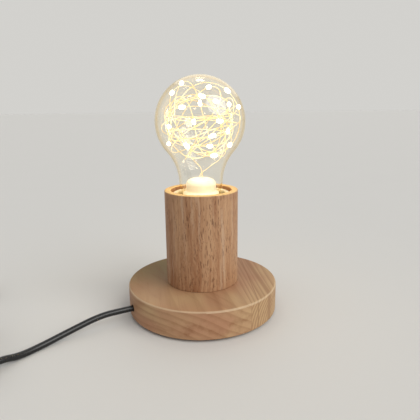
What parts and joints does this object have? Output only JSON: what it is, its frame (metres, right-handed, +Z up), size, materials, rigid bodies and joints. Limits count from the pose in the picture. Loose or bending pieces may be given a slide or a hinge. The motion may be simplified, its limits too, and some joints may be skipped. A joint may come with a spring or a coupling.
{
  "type": "table lamp",
  "caption": "Bare bulb table lamp: a round wooden base and column hide a screw-in holder for a clear globe bulb with a wound wire of small lights; black cord with rocker switch and plug.",
  "frame": {"origin": "on the table, under the middle of the base", "axes": "+Z up along the axis of the column and bulb; -Y towards the viewer of the picture; the cord leaves the base towards -X and a little -Y"},
  "size_m": [0.2473, 0.1774, 0.1602],
  "materials": {
    "rubber_black": "soft foam rubber, matte",
    "wood_base": "sanded, thin clear matte oil",
    "wood_column": "sanded, thin clear matte oil",
    "screw_steel": "zinc plated",
    "zinc_steel": "zinc plated",
    "cord_black": "glossy PVC",
    "lead_brown": "PVC",
    "lead_blue": "PVC",
    "nylon_white": "nylon",
    "holder_white": "glossy moulded",
    "porcelain": "glazed",
    "brass_plain": "plain",
    "clear_glass": "clear, thin",
    "nickel_cap": "nickel plated",
    "insulator_black": "glossy",
    "solder_tin": "tin solder",
    "stopper_white": "satin white",
    "board_green": "lacquered board",
    "capacitor_dark": "shrink sleeve",
    "component_black": "moulded",
    "lead_copper": "tinned copper",
    "wire_copper": "lacquered copper",
    "light_warm": "clear resin with a warm light inside",
    "switch_black": "satin moulded",
    "rocker_black": "glossy moulded",
    "tie_black": "soft strap",
    "pin_nickel": "nickel-plated brass"
  },
  "bodies": {
    "lamp": {"base_pad": "rubber_black", "base_disc": "wood_base", "column": "wood_column", "column_screws": "screw_steel", "threaded_tube": "zinc_steel", "tube_nuts": "zinc_steel", "tube_washers": "zinc_steel", "cord_inner": "cord_black", "live_lead": "lead_brown", "neutral_lead": "lead_blue", "cord_clamp": "nylon_white", "clamp_screws": "screw_steel", "holder_cap": "holder_white", "holder_shell": "holder_white", "holder_insert": "porcelain", "terminal_blocks": "brass_plain", "terminal_screws": "screw_steel", "holder_screw_shell": "brass_plain", "centre_contact": "brass_plain", "side_contact": "brass_plain", "cord_to_switch": "cord_black", "switch_base": "switch_black", "switch_cover": "switch_black", "switch_screws": "screw_steel", "switch_pin": "zinc_steel", "switch_contacts": "brass_plain", "cord_coil": "cord_black", "cord_tie": "tie_black", "cord_to_coil": "cord_black", "cord_to_plug": "cord_black", "plug_body": "switch_black", "plug_pins": "pin_nickel", "plug_relief": "switch_black"},
    "bulb_carrier": {"bulb_contact": "solder_tin"},
    "bulb": {"bulb_glass": "clear_glass", "bulb_cap_shell": "nickel_cap", "bulb_cap_insulator": "insulator_black", "bulb_stopper": "stopper_white", "driver_board": "board_green", "driver_capacitor": "capacitor_dark", "driver_parts": "component_black", "driver_leads": "lead_copper", "fairy_wire": "wire_copper", "fairy_lights": "light_warm"},
    "rocker": {"switch_rocker": "rocker_black"}
  },
  "joints": [
    {"name": "bulb_rise", "type": "slide", "parent": "lamp", "child": "bulb_carrier", "axis": [0, 0, 1], "range_m": [0, 0.01815]},
    {"name": "bulb_turn", "type": "hinge", "parent": "bulb_carrier", "child": "bulb", "pos_m": [0, 0, 0.0535], "axis": [0, 0, 1], "range_deg": [0, 1800]},
    {"name": "rocker_tilt", "type": "hinge", "parent": "lamp", "child": "rocker", "pos_m": [-0.13195, -0.09571, 0.0096], "axis": [-0.7547, 0.6561, 0], "range_deg": [0, 18]}
  ],
  "couplings": [
    {"joint": "bulb_rise", "follows": "bulb_turn", "m_per_rad": 0.00057757}
  ]
}
